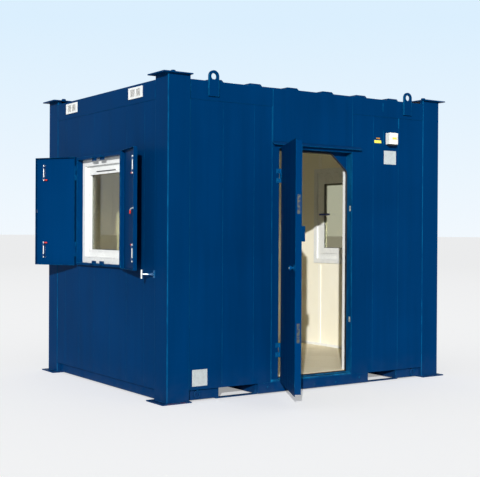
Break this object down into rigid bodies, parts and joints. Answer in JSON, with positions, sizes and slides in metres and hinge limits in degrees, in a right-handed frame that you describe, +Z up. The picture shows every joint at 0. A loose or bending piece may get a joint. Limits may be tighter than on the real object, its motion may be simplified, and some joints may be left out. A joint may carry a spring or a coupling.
{
  "type": "portable site cabin",
  "caption": "Steel walled site cabin with an outward door, shuttered end windows, fork pockets, lifting eyes and stacking corners.",
  "frame": {"origin": "front left corner of the corner posts, at the underside of the foot plates", "axes": "+X to the right along the front, +Y from the front to the back, +Z up"},
  "size_m": [3.5536, 3.1117, 2.6859],
  "materials": {
    "steel_blue": "gloss navy paint on folded steel",
    "lining_cream": "cream faced lining board",
    "floor_vinyl": "beige sheet vinyl",
    "timber": "softwood and plywood",
    "roof_steel": "painted box profile sheet",
    "white_plastic": "white window plastic",
    "clear_glass": "clear double glazing",
    "black_rubber": "black sealing strip",
    "zinc": "bright zinc plate",
    "inlet_plastic": "white moulded plastic"
  },
  "bodies": {
    "cabin": {"corner_posts": "steel_blue", "foot_plates": "steel_blue", "top_plates": "steel_blue", "stacking_spigots": "steel_blue", "base_rails": "steel_blue", "fork_pockets": "steel_blue", "floor_joists": "timber", "floor_deck": "timber", "floor_covering": "floor_vinyl", "top_rails": "steel_blue", "roof_sheet": "roof_steel", "ceiling_panel": "lining_cream", "front_wall_left": "steel_blue", "front_wall_right": "steel_blue", "front_wall_over_door": "steel_blue", "back_wall": "steel_blue", "left_wall": "steel_blue", "right_wall": "steel_blue", "lining_front": "lining_cream", "lining_back": "lining_cream", "lining_left": "lining_cream", "lining_right": "lining_cream", "door_frame": "steel_blue", "door_seal": "black_rubber", "door_liner": "white_plastic", "drip_rail": "steel_blue", "door_hinge_pins": "steel_blue", "window_surrounds": "steel_blue", "window_frames": "white_plastic", "window_glass": "clear_glass", "window_trims": "white_plastic", "shutter_stays": "zinc", "air_vents": "white_plastic", "lifting_lugs": "steel_blue", "lashing_lugs": "steel_blue", "power_inlet": "inlet_plastic"},
    "door": {"door_leaf": "steel_blue", "lock_forends": "zinc", "door_knob": "zinc", "lock_case": "steel_blue"},
    "shutter_left_front": {"shutter_left_front": "steel_blue", "bolts_left_front": "zinc"},
    "shutter_left_rear": {"shutter_left_rear": "steel_blue", "bolts_left_rear": "zinc"},
    "shutter_right_front": {"shutter_right_front": "steel_blue", "bolts_right_front": "zinc"},
    "shutter_right_rear": {"shutter_right_rear": "steel_blue", "bolts_right_rear": "zinc"}
  },
  "joints": [
    {"name": "door_hinge", "type": "hinge", "parent": "cabin", "child": "door", "pos_m": [1.1, -0.012, 1.1], "axis": [0, 0, -1], "range_deg": [-118.5, 51.5]},
    {"name": "shutter_left_front_hinge", "type": "hinge", "parent": "cabin", "child": "shutter_left_front", "pos_m": [-0.045, 0.722, 1.5575], "axis": [0, 0, 1], "range_deg": [-166, 6]},
    {"name": "shutter_left_rear_hinge", "type": "hinge", "parent": "cabin", "child": "shutter_left_rear", "pos_m": [-0.045, 1.63, 1.5575], "axis": [0, 0, -1], "range_deg": [-149, 23]},
    {"name": "shutter_right_front_hinge", "type": "hinge", "parent": "cabin", "child": "shutter_right_front", "pos_m": [3.045, 0.861, 1.5575], "axis": [0, 0, -1], "range_deg": [-166, 6]},
    {"name": "shutter_right_rear_hinge", "type": "hinge", "parent": "cabin", "child": "shutter_right_rear", "pos_m": [3.045, 1.769, 1.5575], "axis": [0, 0, 1], "range_deg": [-149, 23]}
  ]
}
